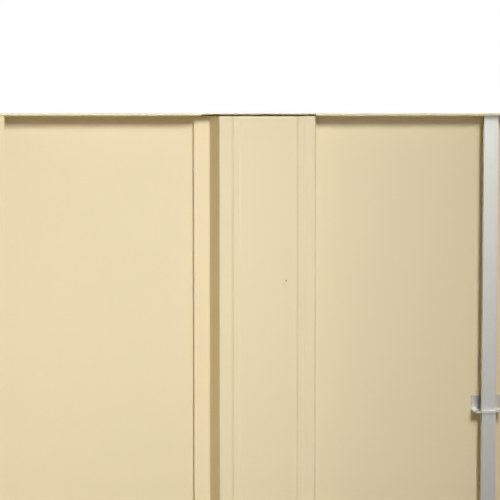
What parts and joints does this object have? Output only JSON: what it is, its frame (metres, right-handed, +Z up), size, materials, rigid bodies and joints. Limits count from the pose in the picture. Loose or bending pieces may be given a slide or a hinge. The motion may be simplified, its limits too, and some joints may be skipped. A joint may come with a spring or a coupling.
{
  "type": "two-door storage cabinet",
  "caption": "Tall sheet-steel office cabinet with hinged doors on hat-section stiffeners, a lever handle with three-point lock, and lift-out shelves on slotted posts.",
  "frame": {"origin": "on the floor, under the middle of the cabinet's body", "axes": "+Z up, -Y towards the front where the doors are, +X to the right of a person facing the doors"},
  "size_m": [1.3062, 0.8603, 1.8288],
  "materials": {
    "putty_enamel": "semi-gloss enamel",
    "zinc_steel": "zinc plated",
    "chrome_plate": "bright chrome",
    "nickel_brass": "dull nickelled",
    "black_rubber": "matt"
  },
  "bodies": {
    "cabinet": {"left_side_panel": "putty_enamel", "right_side_panel": "putty_enamel", "back_panel": "putty_enamel", "top_panel": "putty_enamel", "base_pan": "putty_enamel", "front_left_post": "putty_enamel", "front_right_post": "putty_enamel", "rear_left_post": "putty_enamel", "rear_right_post": "putty_enamel", "shelf_clips": "zinc_steel", "foot_gussets": "putty_enamel", "base_channel": "putty_enamel", "door_bumpers": "black_rubber", "left_frame_leaves": "putty_enamel", "right_frame_leaves": "putty_enamel"},
    "left_door": {"left_door_skin": "putty_enamel", "left_door_stiffener": "putty_enamel", "left_door_leaves": "putty_enamel", "left_door_strike": "putty_enamel"},
    "right_door": {"right_door_skin": "putty_enamel", "right_door_stiffener": "putty_enamel", "right_door_leaves": "putty_enamel", "handle_escutcheon": "chrome_plate", "spindle_bracket": "zinc_steel", "rod_guides": "zinc_steel"},
    "handle": {"door_handle": "chrome_plate", "lock_spindle": "zinc_steel", "lock_cam": "zinc_steel", "latch_tongue": "zinc_steel"},
    "key_plug": {"lock_plug": "nickel_brass"},
    "upper_rod": {"upper_lock_rod": "zinc_steel"},
    "lower_rod": {"lower_lock_rod": "zinc_steel"},
    "shelf_1_body": {"shelf_1": "putty_enamel"},
    "shelf_2_body": {"shelf_2": "putty_enamel"},
    "shelf_3_body": {"shelf_3": "putty_enamel"},
    "shelf_4_body": {"shelf_4": "putty_enamel"},
    "front_left_foot": {"foot_front_left": "zinc_steel"},
    "front_right_foot": {"foot_front_right": "zinc_steel"},
    "rear_left_foot": {"foot_rear_left": "zinc_steel"},
    "rear_right_foot": {"foot_rear_right": "zinc_steel"},
    "centre_foot": {"foot_centre": "zinc_steel"}
  },
  "joints": [
    {"name": "left_door_swing", "type": "hinge", "parent": "cabinet", "child": "left_door", "pos_m": [-0.4336, -0.23215, 0.9294], "axis": [0, 0, -1], "range_deg": [-120, 60]},
    {"name": "right_door_swing", "type": "hinge", "parent": "cabinet", "child": "right_door", "pos_m": [0.4336, -0.23215, 0.9294], "axis": [0, 0, 1], "range_deg": [-120, 60]},
    {"name": "handle_turn", "type": "hinge", "parent": "right_door", "child": "handle", "pos_m": [0.62558, -0.57176, 1], "axis": [-0.866, -0.5, 0], "range_deg": [0, 90]},
    {"name": "key_turn", "type": "hinge", "parent": "handle", "child": "key_plug", "pos_m": [0.62558, -0.57176, 1], "axis": [-0.866, -0.5, 0], "range_deg": [0, 90]},
    {"name": "upper_rod_slide", "type": "slide", "parent": "right_door", "child": "upper_rod", "axis": [0, 0, 1], "range_m": [0, 0.0199]},
    {"name": "lower_rod_slide", "type": "slide", "parent": "right_door", "child": "lower_rod", "axis": [0, 0, -1], "range_m": [0, 0.0199]},
    {"name": "shelf_1_lift", "type": "slide", "parent": "cabinet", "child": "shelf_1_body", "axis": [0, 0, 1], "range_m": [0, 0.05]},
    {"name": "shelf_2_lift", "type": "slide", "parent": "cabinet", "child": "shelf_2_body", "axis": [0, 0, 1], "range_m": [0, 0.05]},
    {"name": "shelf_3_lift", "type": "slide", "parent": "cabinet", "child": "shelf_3_body", "axis": [0, 0, 1], "range_m": [0, 0.05]},
    {"name": "shelf_4_lift", "type": "slide", "parent": "cabinet", "child": "shelf_4_body", "axis": [0, 0, 1], "range_m": [0, 0.05]},
    {"name": "front_left_foot_turn", "type": "hinge", "parent": "cabinet", "child": "front_left_foot", "pos_m": [-0.3952, -0.1666, 0.02], "axis": [0, 0, 1], "continuous": true},
    {"name": "front_right_foot_turn", "type": "hinge", "parent": "cabinet", "child": "front_right_foot", "pos_m": [0.3952, -0.1666, 0.02], "axis": [0, 0, 1], "continuous": true},
    {"name": "rear_left_foot_turn", "type": "hinge", "parent": "cabinet", "child": "rear_left_foot", "pos_m": [-0.3952, 0.1666, 0.02], "axis": [0, 0, 1], "continuous": true},
    {"name": "rear_right_foot_turn", "type": "hinge", "parent": "cabinet", "child": "rear_right_foot", "pos_m": [0.3952, 0.1666, 0.02], "axis": [0, 0, 1], "continuous": true},
    {"name": "centre_foot_turn", "type": "hinge", "parent": "cabinet", "child": "centre_foot", "pos_m": [0, 0, 0.02], "axis": [0, 0, 1], "continuous": true}
  ],
  "couplings": [
    {"joint": "upper_rod_slide", "follows": "handle_turn", "m_per_rad": 0.012604},
    {"joint": "lower_rod_slide", "follows": "handle_turn", "m_per_rad": 0.012604}
  ]
}
